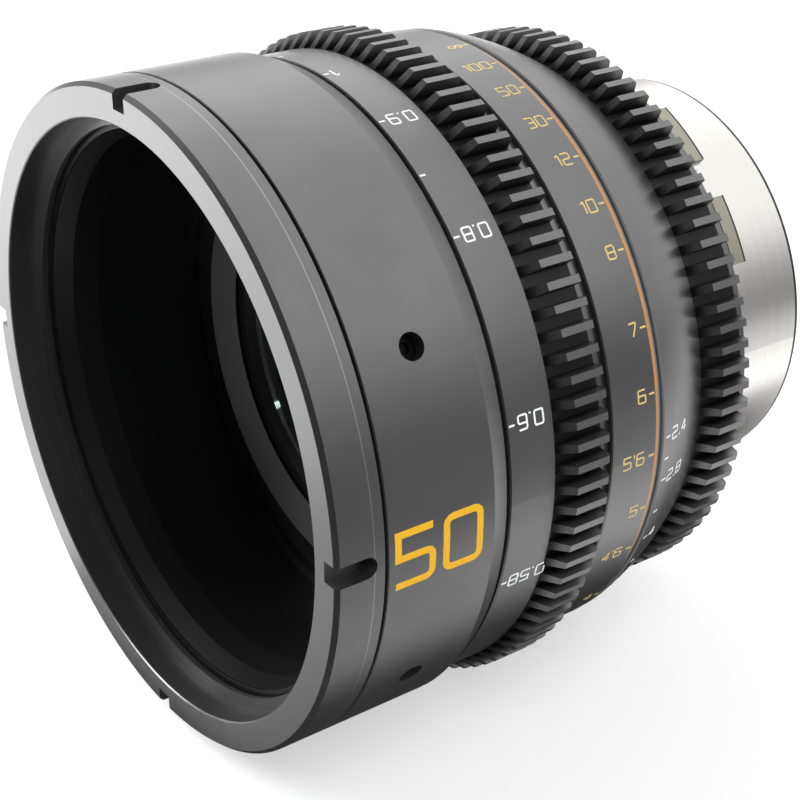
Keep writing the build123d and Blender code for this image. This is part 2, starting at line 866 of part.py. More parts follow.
def cam_followers():
    """The two followers that reach from the carrier through the guide slots into the helical slots."""
    guide_inner = main_bore_radius - running_fit - carrier_guide_wall
    outer = sleeve_radius + sleeve_wall - face_gap
    pins = []
    for number in range(follower_count):
        angle = follower_angle + number * 360 / follower_count
        radius = follower_radius - seat_fit
        pins.append(radial_pin(radius, guide_inner, outer, follower_height, angle))
    return Compound(children=pins)


def front_cell():
    """The front cell: a conical mouth, seats for the front glass group and a foot on the carrier."""
    top = focus_front - front_cell_from_focus_front
    mouth = front_glass_radius + retaining_ring_wall - retaining_ring_overlap
    return turned(
        (front_cell_mouth_radius, top),
        (front_cell_radius, top),
        (front_cell_radius, web_front + face_gap),
        (iris_plate_opening, web_front + face_gap),
        (third_glass_radius - retaining_ring_overlap, third_glass_low - seat_fit),
        (third_glass_radius + glass_fit, third_glass_low - seat_fit),
        (third_glass_radius + glass_fit, second_glass_low - seat_fit),
        (second_glass_radius + glass_fit, second_glass_low - seat_fit),
        (second_glass_radius + glass_fit, front_glass_low - seat_fit),
        (front_glass_radius + glass_fit, front_glass_low - seat_fit),
        (front_glass_radius + glass_fit, front_glass_top),
        (mouth, front_glass_top + seat_fit),
        (mouth, top - front_cell_mouth_depth),
    )


def glass(radius, edge_top, edge, rise_top, rise_low):
    """A glass element with a flat land round each face; a face swells by its rise, or is hollow."""
    low = edge_top - edge
    clear = radius - glass_land
    rim = Polyline((clear, 0, low), (radius, 0, low), (radius, 0, edge_top), (clear, 0, edge_top))
    front = dome(clear, edge_top, rise_top)
    rear = dome(clear, low, -rise_low)
    axis = Line((0, 0, low - rise_low), (0, 0, edge_top + rise_top))
    return revolve(make_face([*rim.edges(), front, rear, axis]), Axis.Z)


def dome(radius, height, rise):
    """Half of a glass face in section, an arc from the axis to the land."""
    sphere = (radius ** 2 + rise ** 2) / (2 * rise)
    middle_radius = radius / 2
    drop = sphere - (1 if sphere > 0 else -1) * (sphere ** 2 - middle_radius ** 2) ** 0.5
    middle = (middle_radius, 0, height + rise - drop)
    return ThreePointArc((0, 0, height + rise), middle, (radius, 0, height))


def front_element():
    """The large front glass."""
    rises = (front_glass_rise, front_glass_hollow)
    return glass(front_glass_radius, front_glass_top, front_glass_edge, *rises)


def front_spacer():
    """The spacer ring behind the front glass."""
    outer = second_glass_radius
    return tube(outer - spacer_wall, outer, second_glass_top + seat_fit, front_glass_low - seat_fit)


def second_element():
    rises = (second_glass_rise, second_glass_hollow)
    return glass(second_glass_radius, second_glass_top, second_glass_edge, *rises)


def second_spacer():
    """The thin spacer ring between the second and third glass."""
    outer = third_glass_radius
    return tube(outer - spacer_wall, outer, third_glass_top + seat_fit, second_glass_low - seat_fit)


def third_element():
    rises = (third_glass_rise, third_glass_hollow)
    return glass(third_glass_radius, third_glass_top, third_glass_edge, *rises)


def front_retaining_ring():
    """The threaded ring that holds the front glass, with a bevelled inner edge."""
    low = front_glass_top + seat_fit
    outer = front_glass_radius + retaining_ring_wall - retaining_ring_overlap - seat_fit
    inner = front_glass_radius - retaining_ring_overlap
    return turned(
        (inner, low),
        (outer, low),
        (outer, low + retaining_ring_thickness),
        (inner + retaining_ring_overlap, low + retaining_ring_thickness),
    )


def rear_cell():
    """The rear cell, stepped to take the rear glass group, on a flange inside the carrier's housing."""
    low = cell_front - rear_cell_length
    flange = iris_housing_bore - running_fit
    return turned(
        (iris_plate_opening, cell_front),
        (flange, cell_front),
        (flange, cell_front - rear_cell_flange),
        (rear_cell_radius, cell_front - rear_cell_flange),
        (rear_cell_radius, low),
        (rear_glass_radius + glass_fit, low),
        (rear_glass_radius + glass_fit, rear_glass_top + seat_fit),
        (fifth_glass_radius + glass_fit, rear_glass_top + seat_fit),
        (fifth_glass_radius + glass_fit, fifth_glass_top + seat_fit),
        (fourth_glass_radius + glass_fit, fifth_glass_top + seat_fit),
        (fourth_glass_radius + glass_fit, fourth_glass_top + seat_fit),
        (iris_plate_opening, fourth_glass_top + seat_fit),
    )


def fourth_element():
    rises = (fourth_glass_rise, fourth_glass_swell)
    return glass(fourth_glass_radius, fourth_glass_top, fourth_glass_edge, *rises)


def fourth_spacer():
    """The ring that keeps the fourth glass against its seat."""
    outer = fourth_glass_radius
    return tube(outer - spacer_wall, outer, fifth_glass_top + seat_fit, fourth_glass_low - seat_fit)


def fifth_element():
    return glass(fifth_glass_radius, fifth_glass_top, fifth_glass_edge, fifth_glass_rise, fifth_glass_swell)


def rear_spacer():
    """The spacer tube between the fifth glass and the rear glass."""
    outer = fifth_glass_radius
    return tube(outer - spacer_wall, outer, rear_glass_top + seat_fit, fifth_glass_low - seat_fit)


def rear_element():
    return glass(rear_glass_radius, rear_glass_top, rear_glass_edge, rear_glass_rise, rear_glass_swell)


def rear_retaining_ring():
    """The threaded ring that closes the rear cell."""
    outer = rear_glass_radius
    high = rear_glass_low - seat_fit
    return tube(outer - spacer_wall, outer, high - retaining_ring_thickness + 2 * seat_fit, high)


def blade_angle(number):
    return number * 360 / blade_count


def iris_plate():
    """The fixed plate in front of the blades, with a hole for each blade's pivot."""
    plate = tube(iris_plate_opening, iris_housing_bore - seat_fit, plate_rear, plate_front)
    for number in range(blade_count):
        hole = pivot_radius + pin_clearance
        angle = blade_angle(number)
        plate -= axial_pin(hole, plate_rear - overrun, plate_front + overrun, pivot_circle, angle)
    return plate


def iris_front_clamp():
    """The clamp ring between the carrier's web and the iris plate."""
    inner = iris_housing_bore - iris_housing_wall
    return tube(inner, iris_housing_bore - seat_fit, plate_front + seat_fit, web_rear)


def blade_top(number):
    return plate_rear - cam_gap - number * blade_pitch


def drive_pin_place(swing):
    """Where a blade's drive pin is when the blade has swung by an angle, seen from the front."""
    x, y = polar(lever_length, lever_angle + swing)
    return (pivot_circle + x, y)


def blade(number):
    """One iris blade: an arc band, the pivot lug and the drive lever, with a pin on each side."""
    middle = (iris_opening + blade_outer_radius) / 2
    width = blade_outer_radius - iris_opening
    band = Circle(blade_outer_radius) - Circle(iris_opening)
    reach = blade_outer_radius + overrun
    wedge = [(0, 0)]
    for share in (0, 0.25, 0.5, 0.75, 1):
        wedge.append(polar(2 * reach, share * blade_span))
    band &= make_face(Polyline(*wedge, close=True))
    band += Pos(*polar(middle, blade_span)) * Circle(width / 2)
    band += Pos(*polar(middle, 0)) * Circle(width / 2)
    lug_reach = pivot_circle - middle
    band += Pos(middle + lug_reach / 2, 0) * Rectangle(lug_reach, 2 * pivot_lug_radius)
    band += Pos(pivot_circle, 0) * Circle(pivot_lug_radius)
    tip = drive_pin_place(0)
    lever = Rot(0, 0, lever_angle) * Pos(lever_length / 2, 0) * Rectangle(lever_length, lever_width)
    band += Pos(pivot_circle, 0) * lever
    band += Pos(*tip) * Circle(lever_width / 2)
    top = blade_top(number)
    low = top - blade_thickness
    solid = Pos(0, 0, low) * extrude(band, blade_thickness)
    solid += Pos(pivot_circle, 0, low) * extrude(Circle(pivot_radius), plate_front - low)
    solid += Pos(tip[0], tip[1], cam_rear) * extrude(Circle(pivot_radius), top - cam_rear)
    return Rot(0, 0, blade_angle(number)) * solid


def cam_slot():
    """One spiral slot of the cam ring, worked out so that the drive pin stays in its middle."""
    half = pivot_radius + pin_clearance
    centres = []
    for step in range(cam_slot_steps + 1):
        share = step / cam_slot_steps
        x, y = drive_pin_place(share * blade_swing)
        centres.append(polar(hypot(x, y), degrees(atan2(y, x)) - share * iris_range))
    line = Spline(*centres)
    sides = []
    for side in (-1, 1):
        points = []
        for step in range(cam_slot_steps + 1):
            point = line @ (step / cam_slot_steps)
            run = line % (step / cam_slot_steps)
            points.append((point.X - side * half * run.Y, point.Y + side * half * run.X))
        sides.append(points)
    left = Spline(*sides[0])
    right = Spline(*sides[1])
    end = Line(sides[0][-1], sides[1][-1])
    start = Line(sides[0][0], sides[1][0])
    outline = make_face([left, end, right, start])
    outline += Pos(*centres[0]) * Circle(half)
    outline += Pos(*centres[-1]) * Circle(half)
    return outline


def iris_cam_ring():
    """The turning cam ring: a spiral slot for each blade, and the fork that follows the iris ring's pin."""
    outer = iris_housing_bore - running_fit
    ring = tube(cam_ring_bore, outer, cam_rear, cam_front)
    cutter = Pos(0, 0, cam_rear - overrun) * extrude(cam_slot(), cam_ring_thickness + 2 * overrun)
    for number in range(blade_count):
        ring -= Rot(0, 0, blade_angle(number)) * cutter
    inner = fork_reach - fork_wall
    arm_start = (outer + cam_ring_bore) / 2 + fork_wall
    arm_length = fork_reach - arm_start
    arm = Box(arm_length, fork_width, cam_ring_thickness)
    arm = Pos(arm_start + arm_length / 2, 0, (cam_front + cam_rear) / 2) * arm
    fork_low = cam_front - fork_length
    prong_middle = (inner + fork_reach) / 2
    prong = Pos(prong_middle, 0, (cam_front + fork_low) / 2) * Box(fork_wall, fork_width, fork_length)
    gap = 2 * (drive_pin_radius + fork_clearance)
    groove_top = cam_rear - fork_clearance
    groove_length = groove_top - fork_low + overrun
    groove = Box(2 * fork_wall, gap, groove_length)
    groove = Pos(prong_middle, 0, groove_top - groove_length / 2) * groove
    fork = Rot(0, 0, drive_pin_angle) * (arm + prong - groove)
    return ring + fork


def iris_cover():
    """The fixed cover ring behind the cam ring."""
    return tube(cover_bore, iris_housing_bore - seat_fit, cover_rear, cover_front)


PIECES = {
    "front_ring": front_ring,
    "front_barrel": front_barrel,
    "front_set_screws": front_set_screws,
    "hood_liner": hood_liner,
    "main_barrel": main_barrel,
    "focus_stop_pin": focus_stop_pin,
    "focus_sleeve": focus_sleeve,
    "metric_scale_ring": metric_scale_ring,
    "focus_gear": focus_gear,
    "feet_scale_ring": feet_scale_ring,
    "focus_ring_screws": focus_ring_screws,
    "index_ring": index_ring,
    "iris_ring": iris_ring,
    "iris_gear": iris_gear,
    "iris_drive_pin": iris_drive_pin,
    "rear_barrel": rear_barrel,
    "rear_barrel_screws": rear_barrel_screws,
    "rear_housing": rear_housing,
    "mount_shim": mount_shim,
    "camera_mount": camera_mount,
    "mount_screws": mount_screws,
    "rear_baffle": rear_baffle,
    "focus_carrier": focus_carrier,
    "cam_followers": cam_followers,
    "front_cell": front_cell,
    "front_element": front_element,
    "front_spacer": front_spacer,
    "second_element": second_element,
    "second_spacer": second_spacer,
    "third_element": third_element,
    "front_retaining_ring": front_retaining_ring,
    "rear_cell": rear_cell,
    "fourth_element": fourth_element,
    "fourth_spacer": fourth_spacer,
    "fifth_element": fifth_element,
    "rear_spacer": rear_spacer,
    "rear_element": rear_element,
    "rear_retaining_ring": rear_retaining_ring,
    "iris_plate": iris_plate,
    "iris_front_clamp": iris_front_clamp,
    "iris_cam_ring": iris_cam_ring,
    "iris_cover": iris_cover,
}


def laid_down(shape):
    """Turn a piece from standing on the mount to lying with its front towards -Y."""
    return Rot(90, 0, 0) * shape


def main():
    os.makedirs("parts", exist_ok=True)
    for name, make in PIECES.items():
        export_step(laid_down(make()), "parts/" + name + ".step")
    for number in range(blade_count):
        export_step(laid_down(blade(number)), "parts/iris_blade_%d.step" % (number + 1))
    travel = "optical block travel: %.2f mm back, %.2f mm ahead" % (travel_back, travel_ahead)
    print(travel)


main()
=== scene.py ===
# %% [markdown]
# # A cine prime lens
#
# The lens lies level, with its front towards the camera. Its solids come from the CAD model and stay
# where they are. Here they get their finishes, and the painted scales that the rings carry.

# %% The frame
import json
from math import cos, pi, radians, sin

import bpy
import numpy as np
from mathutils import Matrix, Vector


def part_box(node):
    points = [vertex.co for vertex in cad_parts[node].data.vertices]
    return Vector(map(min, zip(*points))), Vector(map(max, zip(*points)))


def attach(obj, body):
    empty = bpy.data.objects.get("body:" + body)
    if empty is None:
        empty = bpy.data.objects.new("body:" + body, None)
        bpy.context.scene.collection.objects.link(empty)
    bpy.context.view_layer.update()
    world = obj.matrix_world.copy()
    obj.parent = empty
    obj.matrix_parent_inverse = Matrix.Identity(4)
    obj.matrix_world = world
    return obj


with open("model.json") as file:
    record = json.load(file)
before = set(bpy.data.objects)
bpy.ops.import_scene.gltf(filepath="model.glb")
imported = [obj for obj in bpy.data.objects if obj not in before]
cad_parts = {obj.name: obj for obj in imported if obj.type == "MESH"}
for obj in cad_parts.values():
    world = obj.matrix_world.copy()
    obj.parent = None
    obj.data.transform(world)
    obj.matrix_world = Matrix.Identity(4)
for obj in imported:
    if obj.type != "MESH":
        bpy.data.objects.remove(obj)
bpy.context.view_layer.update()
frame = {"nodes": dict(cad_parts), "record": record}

MM = 0.001
nodes = frame["nodes"]
print("CAD nodes:", len(nodes))

# %% [markdown]
# ## Where things are on the lens
#
# All places are read as a distance behind the front face and an angle about the optical axis. The
# angle is nought on the side of the focus index and grows towards the top.

# %% Stations and angles
FRONT_FACE = -66.1 * MM


def station(distance):
    """The place along the axis, in metres, of a distance in millimetres behind the front face."""
    return FRONT_FACE + distance * MM


SKIN_SHARE = 0.89
WHOLE_RING = 64


def profile(node):
    """The outer surface of a CAD node: a function from the place along the axis to the radius."""
    places = np.empty(len(nodes[node].data.vertices) * 3)
    nodes[node].data.vertices.foreach_get("co", places)
    x, y, z = places.reshape(-1, 3).T
    radius = np.hypot(x, z)
    skin = radius > SKIN_SHARE * radius.max()
    radius = radius[skin]
    along = np.round(y[skin], 5)
    stops, counts = np.unique(along, return_counts=True)
    stops = stops[counts >= WHOLE_RING]
    outer = [radius[along == stop].max() for stop in stops]
    return lambda place: float(np.interp(place, stops, outer))


def rim(node):
    """The largest radius of a CAD node, in metres."""
    low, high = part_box(node)
    return (high[0] - low[0]) / 2


BARREL_RADIUS = rim("front_barrel")
BAND_RADIUS = rim("feet_scale_ring")
print("barrel radius %.2f mm, band radius %.2f mm" % (BARREL_RADIUS / MM, BAND_RADIUS / MM))

# %% [markdown]
# ## Shader maths as plain expressions
#
# A finish is a small calculation on the place on the surface. The class below wraps a socket of a
# node, so that an expression such as `1 - mask * 0.5` adds the Math nodes that work it out.

# %% A number or colour inside a material
class Signal:
    """A socket that can be used in an expression."""

    def __init__(self, paint, socket):
        self.paint = paint
        self.socket = socket

    def brighter(self, other):
        """The larger of two values at each place."""
        return self.math("MAXIMUM", self, other)

    def math(self, operation, first, second=None):
        values = {0: first} if second is None else {0: first, 1: second}
        return self.paint.add("ShaderNodeMath", {"operation": operation}, values)

    def __add__(self, other):
        return self.math("ADD", self, other)

    def __radd__(self, other):
        return self.math("ADD", other, self)

    def __sub__(self, other):
        return self.math("SUBTRACT", self, other)

    def __rsub__(self, other):
        return self.math("SUBTRACT", other, self)

    def __mul__(self, other):
        return self.math("MULTIPLY", self, other)

    def __rmul__(self, other):
        return self.math("MULTIPLY", other, self)

    def __pow__(self, other):
        return self.math("POWER", self, other)


class Wiring:
    """A node tree that is built one node at a time."""

    def __init__(self, tree):
        self.tree = tree

    def add(self, kind, settings=None, values=None, out=0):
        """Adds one node: its settings first, then the numbers or links of its sockets."""
        node = self.tree.nodes.new(kind)
        for key, value in (settings or {}).items():
            setattr(node, key, value)
        for key, value in (values or {}).items():
            if isinstance(value, Signal):
                self.tree.links.new(value.socket, node.inputs[key])
            else:
                node.inputs[key].default_value = value
        return Signal(self, node.outputs[out])

    def step(self, signal, low, high, bottom=0.0, top=1.0):
        """A smooth rise from one value to another between two limits."""
        return self.add("ShaderNodeMapRange", {"interpolation_type": "SMOOTHSTEP"},
                        {0: signal, 1: low, 2: high, 3: bottom, 4: top})

    def band(self, signal, low, high, soft):
        """One between two limits and nought outside them, with soft edges."""
        rise = self.step(signal, low - soft, low)
        return rise * self.step(signal, high, high + soft, 1.0, 0.0)

    def mix(self, share, first, second):
        """A mix of two shaders."""
        return self.add("ShaderNodeMixShader", None, {0: share, 1: first, 2: second})

    def parts(self, vector):
        """The three numbers of a vector."""
        x = self.add("ShaderNodeSeparateXYZ", values={0: vector})
        return x, Signal(self, x.socket.node.outputs[1]), Signal(self, x.socket.node.outputs[2])


class Paint(Wiring):
    """A material under construction, with the Principled shader that the finish feeds."""

    def __init__(self, name, **constants):
        self.material = bpy.data.materials.new(name)
        self.material.use_nodes = True
        super().__init__(self.material.node_tree)
        self.shader = self.tree.nodes["Principled BSDF"]
        for socket, value in constants.items():
            self.shader.inputs[socket.replace("_", " ")].default_value = value

    def feed(self, socket, signal):
        self.tree.links.new(signal.socket, self.shader.inputs[socket])

    def place(self):
        """The place on the object in millimetres, as a vector."""
        here = self.add("ShaderNodeTexCoord", out=3)
        return self.add("ShaderNodeVectorMath", {"operation": "SCALE"}, {0: here, "Scale": 1000.0})

    def axial(self, vector):
        """The height along the axis and the radius about it, in millimetres."""
        x, y, z = self.parts(vector)
        return y, (x * x + z * z) ** 0.5

    def noise(self, vector, scale, detail=2.0, rough=0.5):
        return self.add(
            "ShaderNodeTexNoise", None,
            {"Vector": vector, "Scale": scale, "Detail": detail, "Roughness": rough})

    def blend(self, mask, first, second):
        """A mix of two colours, each a triple or a signal."""
        values = {0: mask}
        for key, colour in ((6, first), (7, second)):
            values[key] = colour if isinstance(colour, Signal) else (*colour, 1)
        return self.add("ShaderNodeMix", {"data_type": "RGBA"}, values, out=2)

    def bump(self, height, strength, distance):
        values = {"Strength": strength, "Distance": distance, "Height": height}
        self.feed("Normal", self.add("ShaderNodeBump", None, values))


# %% [markdown]
# ## Black anodised aluminium
#
# The barrel and the rings are turned from aluminium, blasted to a fine satin and anodised black. Up
# close there is a faint grain, and very fine turning rings run round the axis. The grain is noise on
# the object's own coordinates, and the rings are noise that changes only along the axis.
#
# Four places differ, and all of them are painted light or shade. The front face's colour is raised, a
# painted highlight for the brighter reflection it catches. A thin bright line round the front ring is a
# painted highlight where a fine step catches the light. The gaps between the gear teeth get painted
# shade, while the tips keep the satin colour. The front edge of the iris ring is painted a light matt
# grey beside the orange line, as painted light over the shade in the gap there.

# %% The satin black of the barrel and the rings
FACE_REAR = FRONT_FACE / MM + 0.02
# Where a painted highlight runs round the front ring, on a fine step that catches the light.
STEP_HIGHLIGHT_PLACE = FRONT_FACE / MM + 4.7
STEP_HIGHLIGHT_WIDTH = 0.08
STEP_HIGHLIGHT_RADIUS = 39.5
BETWEEN_GEARS = -25
# Depths below the tooth tips where the painted shade in the gear gaps begins and where it is full.
TOOTH_SHADE_START_DEPTH = 0.4
TOOTH_ROOT_DEPTH = 1.7
# The iris ring's front edge, where a band is painted light grey over the shade in the gap beside it.
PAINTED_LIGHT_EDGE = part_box("iris_ring")[0][1] / MM
PAINTED_LIGHT_EDGE_WIDTH = 0.15
# How much lighter the painted highlights on the front face and on the step line round the front ring are.
FACE_HIGHLIGHT_SHARE = 1.6
STEP_HIGHLIGHT_SHARE = 2.4


def satin_black(name, shade=(0.14, 0.14, 0.14), roughness=0.30, toothed=False):
    """Anodised black, grained and turned, with painted light; teeth get painted shade between tips."""
    paint = Paint(name)
    here = paint.place()
    y, radius = paint.axial(here)
    cloud = paint.noise(here, 0.09, 3.0)
    grain = paint.noise(here, 6.0, 3.0, 0.6)
    ring = paint.add("ShaderNodeCombineXYZ", None, {0: radius * 0.6, 1: y, 2: 0.0})
    turning = paint.noise(ring, 5.0, 2.0)
    light = tuple(value * 1.25 for value in shade)
    dark = tuple(value * 0.82 for value in shade)
    colour = paint.blend(cloud * 0.7 + grain * 0.3, dark, light)
    # Painted highlight: the front face's colour is raised for the brighter reflection it catches.
    face = paint.step(y, FACE_REAR, FACE_REAR + 0.05, 1.0, 0.0)
    colour = paint.blend(face, colour, tuple(value * FACE_HIGHLIGHT_SHARE for value in shade))
    # Painted highlight: a thin bright line round the front ring where a fine step catches the light.
    line = paint.band(y, STEP_HIGHLIGHT_PLACE - STEP_HIGHLIGHT_WIDTH / 2, STEP_HIGHLIGHT_PLACE + STEP_HIGHLIGHT_WIDTH / 2, 0.05)
    outside = paint.step(radius, STEP_HIGHLIGHT_RADIUS - 0.5, STEP_HIGHLIGHT_RADIUS)
    step_highlight_colour = tuple(value * STEP_HIGHLIGHT_SHARE for value in shade)
    colour = paint.blend(line * outside * 0.6, colour, step_highlight_colour)
    if toothed:
        # Painted shade: the gaps between the gear teeth are darkened towards their roots; the tips keep
        # the satin colour.
        tips = (rim("focus_gear") / MM, rim("iris_gear") / MM)
        tip = paint.step(y, BETWEEN_GEARS - 1, BETWEEN_GEARS, *tips)
        between = paint.step(tip - radius, TOOTH_SHADE_START_DEPTH, TOOTH_ROOT_DEPTH)
        colour = paint.blend(between, colour, (0.02, 0.02, 0.02))
    # Painted light: a light grey matt band on the iris ring's front edge, over the shade in the gap
    # there.
    painted_light_edge = paint.band(y, PAINTED_LIGHT_EDGE, PAINTED_LIGHT_EDGE + PAINTED_LIGHT_EDGE_WIDTH, 0.1)
    paint.feed("Base Color", paint.blend(painted_light_edge, colour, (0.12, 0.12, 0.12)))
    paint.feed("Metallic", (1.0 - painted_light_edge) * 0.9)
    paint.feed("Roughness", roughness - 0.05 + grain * 0.08 + turning * 0.06)
    paint.bump(grain * 0.6 + turning * 0.8, 0.10, 0.02 * MM)
    return paint.material


finishes = {
    "black_anodised": satin_black("Satin black aluminium"),
    "gear_black": satin_black("Gear black aluminium", (0.15, 0.15, 0.15), 0.34, toothed=True),
}
print("satin finishes:", ", ".join(finishes))

# %% [markdown]
# ## Matt black inside the hood
#
# The inside must not shine, so it is blasted coarser and dyed deeper. Its bore has fine grooves that
# trap the light that grazes it.

# %% The matt black of the hood and the cells
GROOVE_PITCH = 0.5
paint = Paint("Matt black aluminium", Metallic=0.0, IOR=1.5, Specular_IOR_Level=0.5)
here = paint.place()
y, radius = paint.axial(here)
grain = paint.noise(here, 9.0, 3.0, 0.6)
groove = paint.add("ShaderNodeMath", {"operation": "SINE"}, {0: y * (2 * pi / GROOVE_PITCH)})
paint.feed("Base Color", paint.blend(grain, (0.002, 0.002, 0.002), (0.005, 0.005, 0.005)))
paint.feed("Roughness", 0.34 + grain * 0.12)
paint.bump(grain * 0.5 + groove * 0.12, 0.2, 0.03 * MM)
finishes["black_matt"] = paint.material
print("grooves in the hood's bore: every %.1f mm" % GROOVE_PITCH)

# %% [markdown]
# ## The orange index line
#
# The thin fixed ring between the two scales is grey, with an orange line painted round its front
# edge. On a lathe the brush is held still while the ring turns. The line is a band of the ring's own
# finish here, because a strip of mesh so thin would only add an edge that nobody sees.

# %% The orange line
ORANGE_LINE_WIDTH = 0.5
ORANGE_LINE_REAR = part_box("index_ring")[0][1] / MM + ORANGE_LINE_WIDTH
paint = Paint("Orange line", Metallic=0.0, IOR=1.5)
here = paint.place()
y, radius = paint.axial(here)
grain = paint.noise(here, 7.0, 3.0, 0.6)
line = paint.step(y, ORANGE_LINE_REAR, ORANGE_LINE_REAR + 0.05, 1.0, 0.0)
orange = paint.blend(grain, (0.38, 0.165, 0.045), (0.46, 0.21, 0.065))
paint.feed("Base Color", paint.blend(line, (0.13, 0.13, 0.13), orange))
paint.feed("Roughness", 0.30 + grain * 0.12)
paint.bump(grain, 0.08, 0.02 * MM)
finishes["index_orange"] = paint.material
print("orange line: %.1f mm wide" % ORANGE_LINE_WIDTH)

# %% [markdown]
# ## The polished steel mount
#
# The mount is stainless steel, turned and then polished. The last cuts leave very fine rings round
# the axis, which draw every reflection out into a streak. The rims of the lugs are only ground, so
# they are duller; their darker, warmer colour is painted shade for the dark parts they mirror, and a
# dark line along their rear edges is painted shade.

# %% Steel
LUG_ROOT_RADIUS = 32.9
# Where a dark line is painted along the rear edges of the lug rims, as shade.
LUG_EDGE_SHADE_PLACE = -0.2
LUG_EDGE_SHADE_WIDTH = 0.15


def turned_steel(name, shade, roughness, depth, ground_beyond=None):
    """Steel turned and polished; beyond a radius it is rougher from grinding, with painted shade."""
    paint = Paint(name, Metallic=1.0)
    here = paint.place()
    y, radius = paint.axial(here)
    ring = paint.add("ShaderNodeCombineXYZ", None, {0: radius, 1: y, 2: 0.0})
    fine = paint.noise(ring, 14.0, 4.0, 0.7)
    broad = paint.noise(ring, 1.3, 2.0)
    smear = paint.noise(here, 0.12, 2.0)
    light = tuple(min(1.0, value * 1.06) for value in shade)
    dark = tuple(value * 0.92 for value in shade)
    colour = paint.blend(broad * 0.6 + smear * 0.4, dark, light)
    rough = roughness + fine * 0.06 + smear * 0.05
    if ground_beyond:
        ground_and_shade = paint.step(radius, ground_beyond, ground_beyond + 0.1)
        rear_edge_shade = ground_and_shade * paint.step(y, LUG_EDGE_SHADE_PLACE - LUG_EDGE_SHADE_WIDTH, LUG_EDGE_SHADE_PLACE)
        # Painted shade: the lug rims are darker and olive, for the dark parts they mirror.
        colour = paint.blend(ground_and_shade, colour, (0.30, 0.285, 0.235))
        # Painted shade: a dark line along the rear edges of the lug rims.
        colour = paint.blend(rear_edge_shade, colour, (0.05, 0.05, 0.045))
        rough = rough + ground_and_shade * 0.16
    paint.feed("Base Color", colour)
    paint.feed("Roughness", rough)
    paint.bump(fine * 0.7 + broad * 0.3, depth, 0.01 * MM)
    return paint.material


finishes["mount_steel"] = turned_steel(
    "Polished steel", (0.61, 0.60, 0.575), 0.18, 0.12, ground_beyond=LUG_ROOT_RADIUS)
finishes["screw_steel"] = turned_steel("Screw steel", (0.62, 0.61, 0.60), 0.25, 0.1)
finishes["pin_steel"] = turned_steel("Ground steel", (0.60, 0.60, 0.59), 0.28, 0.1)
finishes["screw_black"] = satin_black("Blackened steel", (0.01, 0.01, 0.01), 0.45)
finishes["blade_black"] = satin_black("Blackened blades", (0.03, 0.03, 0.03), 0.45)
finishes["bare_aluminium"] = turned_steel("Bare aluminium", (0.72, 0.72, 0.73), 0.3, 0.2)
print("finishes so far:", ", ".join(finishes))

# %% [markdown]
# ## Coated glass
#
# Clear glass would mirror the room on every face. The real glass is coated, so only a faint teal or
# magenta tint comes back, and the rest goes through to the black inside.

# %% Glass
def coated_glass(name, tint, sheen):
    """Glass with a tint, a coloured sheen and a trace of dust."""
    paint = Paint(
        name, IOR=1.52, Specular_Tint=(*sheen, 1), Transmission_Weight=1.0, Specular_IOR_Level=0.3)
    here = paint.place()
    dust = paint.noise(here, 0.5, 3.0)
    paint.feed("Base Color", paint.blend(dust, tint, tuple(value * 0.97 for value in tint)))
    paint.feed("Roughness", dust * 0.012)
    return paint.material


finishes["coated_glass"] = coated_glass("Front glass", (0.90, 0.97, 0.96), (0.35, 0.85, 0.80))
finishes["inner_glass"] = coated_glass("Inner glass", (0.95, 0.96, 0.93), (0.80, 0.35, 0.40))
print("glass:", finishes["coated_glass"].name, "and", finishes["inner_glass"].name)

# %% [markdown]
# ## Finishes go on the CAD pieces
#
# Each CAD node names the finish it is made in, and takes it in its first material slot.

# %% Assign the finishes
slot_of = {part["node"]: part["material_slot"] for part in frame["record"]["subparts"]}
for name, node in nodes.items():
    node.data.materials.clear()
    node.data.materials.append(finishes[slot_of[name]])
print("finishes:", len(finishes))

# %% [markdown]
# ## Painted scales
#
# Numbers and ticks are engraved with a round cutter and filled with paint. The squared numerals are
# drawn as the cutter would go: a point is pulled from corner to corner, the corners are rounded, and
# the path gets the width of the cutter. Each number is then cut into strips, so that it can bend, and
# wrapped round its ring, a hair above the surface. Ready-made lettering would be quicker, but its
# strokes swell and thin where the cutter leaves an even line.

# %% Paint for the marks
def mark_paint(name, shade):
    """Paint in an engraved line, a little uneven."""
    paint = Paint(name, Metallic=0.0, IOR=1.5, Specular_IOR_Level=0.2)
    here = paint.place()
    grain = paint.noise(here, 5.0, 3.0)
    paint.feed("Base Color", paint.blend(grain, tuple(value * 0.82 for value in shade), shade))
    paint.feed("Roughness", 0.42 + grain * 0.15)
    paint.bump(grain, 0.08, 0.01 * MM)
    return paint.material


white_paint = mark_paint("White marking paint", (0.78, 0.79, 0.79))
yellow_paint = mark_paint("Yellow marking paint", (0.60, 0.45, 0.18))
amber_paint = mark_paint("Amber marking paint", (0.66, 0.36, 0.012))
print("paints:", ", ".join(paint.name for paint in (white_paint, yellow_paint, amber_paint)))

# %% Wrap a flat mark round a ring
PAINT_THICKNESS = 0.02 * MM
STRIP_HEIGHT = 0.8 * MM


def select_only(piece):
    bpy.ops.object.select_all(action="DESELECT")
    piece.select_set(True)
    bpy.context.view_layer.objects.active = piece


